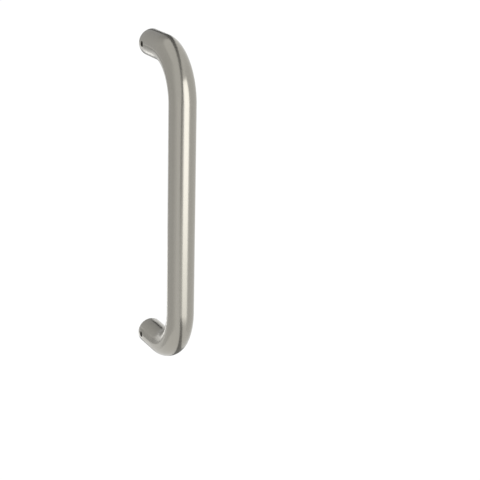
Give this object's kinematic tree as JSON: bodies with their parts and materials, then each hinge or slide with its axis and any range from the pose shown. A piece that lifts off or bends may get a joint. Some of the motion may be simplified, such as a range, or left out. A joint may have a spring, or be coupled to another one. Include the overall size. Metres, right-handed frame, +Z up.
{
  "type": "door pull handle",
  "caption": "D-shaped door pull handle in satin stainless tube, its square-cut feet tapped for screws through the door and locked by grub screws in the side.",
  "frame": {"origin": "on the door's face, midway between the fixing holes", "axes": "+Z up along the grip, +Y into the door, the grip stands out to -Y"},
  "size_m": [0.02, 0.0675, 0.245],
  "materials": {
    "satin_stainless": "satin, finely brushed round the tube",
    "turned_steel": "turned",
    "black_steel": "black oxide"
  },
  "bodies": {
    "root": {"grip_tube": "satin_stainless", "top_foot_bush": "turned_steel", "bottom_foot_bush": "turned_steel", "top_grub_screw": "black_steel", "bottom_grub_screw": "black_steel"}
  },
  "joints": []
}
